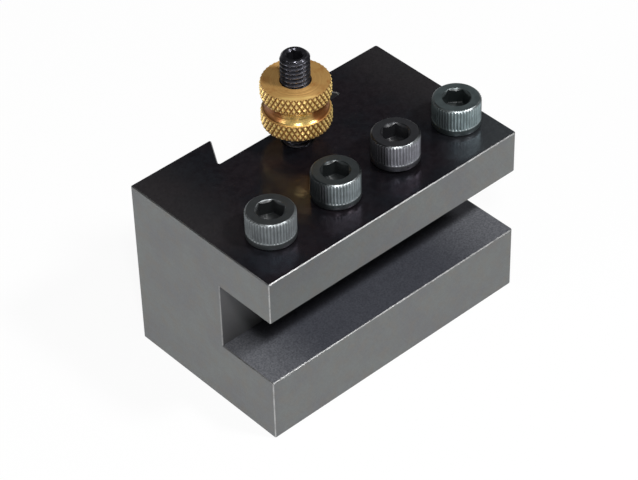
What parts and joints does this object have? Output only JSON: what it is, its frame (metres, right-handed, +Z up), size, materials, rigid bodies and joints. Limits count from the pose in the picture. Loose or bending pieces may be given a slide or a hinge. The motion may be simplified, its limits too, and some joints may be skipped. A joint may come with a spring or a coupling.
{
  "type": "turning tool holder",
  "caption": "Dovetail tool-post holder for lathe turning tools: slotted black steel block, clamp screws and a brass height nut.",
  "frame": {"origin": "centre of the block's bottom face", "axes": "+X along the block and its tool slot, -Y out of the tool slot's open side, +Y out of the dovetail towards the tool post, +Z up towards the clamp screws"},
  "size_m": [0.0524, 0.0322, 0.0484],
  "materials": {
    "block_steel": "black oxide over fine milling marks, semi-gloss",
    "screw_steel": "black oxide, satin",
    "stud_steel": "black oxide, glossy",
    "nut_brass": "turned and knurled, bright"
  },
  "bodies": {
    "holder": {"holder_body": "block_steel", "height_stud": "stud_steel"},
    "clamp_screw_1": {"clamp_screw_1": "screw_steel"},
    "clamp_screw_2": {"clamp_screw_2": "screw_steel"},
    "clamp_screw_3": {"clamp_screw_3": "screw_steel"},
    "clamp_screw_4": {"clamp_screw_4": "screw_steel"},
    "height_nut": {"height_nut": "nut_brass"}
  },
  "joints": [
    {"name": "clamp_screw_1_travel", "type": "slide", "parent": "holder", "child": "clamp_screw_1", "axis": [0, 0, 1], "range_m": [0, 0.007]},
    {"name": "clamp_screw_2_travel", "type": "slide", "parent": "holder", "child": "clamp_screw_2", "axis": [0, 0, 1], "range_m": [0, 0.007]},
    {"name": "clamp_screw_3_travel", "type": "slide", "parent": "holder", "child": "clamp_screw_3", "axis": [0, 0, 1], "range_m": [-0.00037, 0.007]},
    {"name": "clamp_screw_4_travel", "type": "slide", "parent": "holder", "child": "clamp_screw_4", "axis": [0, 0, 1], "range_m": [0, 0.007]},
    {"name": "height_nut_travel", "type": "slide", "parent": "holder", "child": "height_nut", "axis": [0, 0, 1], "range_m": [-0.0035, 0.005]}
  ]
}
